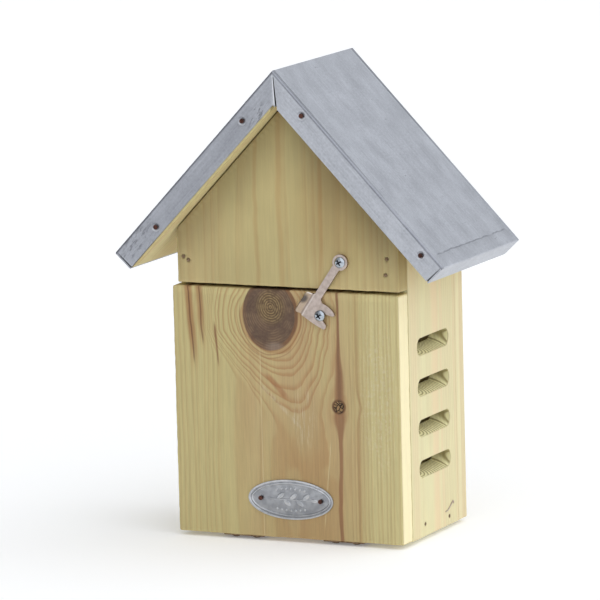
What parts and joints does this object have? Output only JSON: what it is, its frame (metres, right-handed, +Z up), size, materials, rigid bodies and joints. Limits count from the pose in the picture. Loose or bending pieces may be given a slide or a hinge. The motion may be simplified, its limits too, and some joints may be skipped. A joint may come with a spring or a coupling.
{
  "type": "insect house",
  "caption": "Small pine insect house with entrance slots in both sides, a bottom-hinged front door held by a swing hook, and a folded zinc gable roof.",
  "frame": {"origin": "under the middle of the roof's outline, at the height of the lowest screw heads", "axes": "+Z up, the front door faces -Y, +X to the right as seen from the front"},
  "size_m": [0.204, 0.11, 0.2714],
  "materials": {
    "pine_front": "sawn pine with a large knot and reddish heartwood streaks, satin",
    "pine_side": "pale planed pine, satin",
    "pine_gable": "yellow-green treated pine, satin",
    "pine_inner": "rough treated pine, matte",
    "zinc": "dull grey-blue zinc sheet, brushed, satin",
    "plated_steel": "nickel-plated steel, satin",
    "screw_steel": "bright zinc-plated steel",
    "bronzed_steel": "bronzed steel, dull",
    "plate_metal": "cast tin-grey metal, satin"
  },
  "bodies": {
    "house": {"gable_panel": "pine_gable", "left_side": "pine_side", "right_side": "pine_side", "back_board": "pine_inner", "floor_board": "pine_inner", "roof_board_left": "pine_inner", "roof_board_right": "pine_inner", "roof_sheet": "zinc", "roof_nails": "screw_steel", "fascia_nails_front": "bronzed_steel", "fascia_nails_rear": "bronzed_steel", "gable_brads": "bronzed_steel", "side_nails_left": "bronzed_steel", "side_nails_right": "bronzed_steel", "back_nails": "bronzed_steel", "left_hinge_fixed_leaf": "bronzed_steel", "right_hinge_fixed_leaf": "bronzed_steel", "left_hinge_pin": "screw_steel", "right_hinge_pin": "screw_steel", "hinge_screws_floor": "bronzed_steel", "hook_washer": "plated_steel", "hook_pivot_screw": "screw_steel", "hanger_plate": "plated_steel", "hanger_screws": "screw_steel"},
    "door": {"front_door": "pine_front", "keeper_screw": "screw_steel", "left_hinge_door_leaf": "bronzed_steel", "right_hinge_door_leaf": "bronzed_steel", "hinge_screws_door": "bronzed_steel", "name_plate": "plate_metal", "plate_nails": "plate_metal"},
    "hook": {"hook": "plated_steel"}
  },
  "joints": [
    {"name": "door_hinge", "type": "hinge", "parent": "house", "child": "door", "pos_m": [0, -0.0315, 0.0013], "axis": [1, 0, 0], "range_deg": [0, 120]},
    {"name": "hook_swing", "type": "hinge", "parent": "house", "child": "hook", "pos_m": [0.0348, -0.0435, 0.1629], "axis": [0, 1, 0], "range_deg": [0, 150]}
  ]
}
